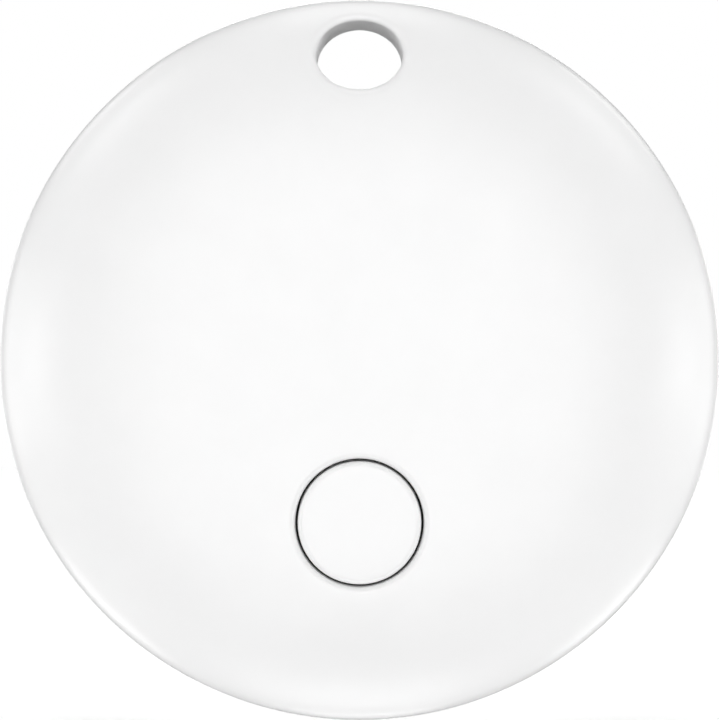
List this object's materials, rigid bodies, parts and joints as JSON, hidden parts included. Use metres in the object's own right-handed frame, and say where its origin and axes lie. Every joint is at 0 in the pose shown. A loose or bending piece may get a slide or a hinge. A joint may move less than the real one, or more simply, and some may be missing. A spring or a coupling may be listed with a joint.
{
  "type": "bluetooth tracker tag",
  "caption": "Thin round key-finder tag with a domed face, an oval key-ring eyelet, a flush push button and a quarter-turn battery door in its back.",
  "frame": {"origin": "middle of the tag, on the axis of its round case and halfway between its face and its back", "axes": "the tag stands upright: +Z towards the key-ring eyelet, -Y out of the face with the button, +Y out of the back with the battery door, +X to the right seen from the front"},
  "size_m": [0.038, 0.008, 0.038],
  "materials": {
    "white_plastic": "fine satin moulded plastic",
    "button_plastic": "fine satin moulded plastic",
    "door_plastic": "fine satin moulded plastic",
    "dark_frame": "matt moulded plastic",
    "silicone": "matt silicone",
    "foam": "matt cellular foam",
    "cell_steel": "bright plated steel",
    "cell_seal": "natural nylon",
    "plated_steel": "bright plated steel",
    "contact_metal": "plated phosphor bronze",
    "sounder_brass": "rolled brass",
    "ceramic": "silvered piezo ceramic",
    "board": "green solder mask",
    "chip_package": "matt epoxy",
    "crystal_can": "bright lid",
    "ferrite": "matt ferrite",
    "capacitor_body": "fired ceramic",
    "resistor_body": "glazed film",
    "antenna_body": "fired ceramic",
    "red_insulation": "PVC sleeve",
    "black_insulation": "PVC sleeve"
  },
  "bodies": {
    "housing": {"front_cover": "white_plastic", "front_cover_eyelet": "white_plastic", "rear_cover": "white_plastic", "rear_cover_eyelet": "white_plastic", "battery_cradle": "dark_frame", "circuit_board": "board", "chip_antenna": "antenna_body", "bluetooth_chip": "chip_package", "crystal_fast": "crystal_can", "crystal_slow": "crystal_can", "boost_inductor": "ferrite", "bulk_capacitor": "capacitor_body", "capacitor_1": "capacitor_body", "capacitor_2": "capacitor_body", "capacitor_3": "capacitor_body", "capacitor_4": "capacitor_body", "resistor_1": "resistor_body", "resistor_2": "resistor_body", "switch_base": "chip_package", "switch_shell": "plated_steel", "switch_dome": "plated_steel", "piezo_plate": "sounder_brass", "piezo_ceramic": "ceramic", "piezo_wire_red": "red_insulation", "piezo_wire_black": "black_insulation", "positive_contact": "contact_metal", "negative_contact": "contact_metal", "cell_can": "cell_steel", "cell_cap": "cell_steel", "cell_gasket": "cell_seal", "door_seal": "silicone", "board_screw_1": "plated_steel", "board_screw_2": "plated_steel", "board_screw_3": "plated_steel", "board_screw_4": "plated_steel"},
    "button": {"button_cap": "button_plastic", "button_seal": "silicone"},
    "switch_actuator": {"switch_plunger": "chip_package"},
    "door": {"battery_door": "door_plastic", "cell_pad": "foam"}
  },
  "joints": [
    {"name": "button_press", "type": "slide", "parent": "housing", "child": "button", "axis": [0, 1, 0], "range_m": [0, 0.0002], "stiffness_N_per_m": 6000},
    {"name": "switch_travel", "type": "slide", "parent": "housing", "child": "switch_actuator", "axis": [0, 1, 0], "range_m": [0, 0.0002], "deforming": ["switch_dome"]},
    {"name": "battery_door_turn", "type": "hinge", "parent": "housing", "child": "door", "pos_m": [0, 0, 0], "axis": [0, 1, 0], "range_deg": [0, 35]}
  ],
  "couplings": [
    {"joint": "switch_travel", "follows": "button_press", "ratio": 1}
  ]
}
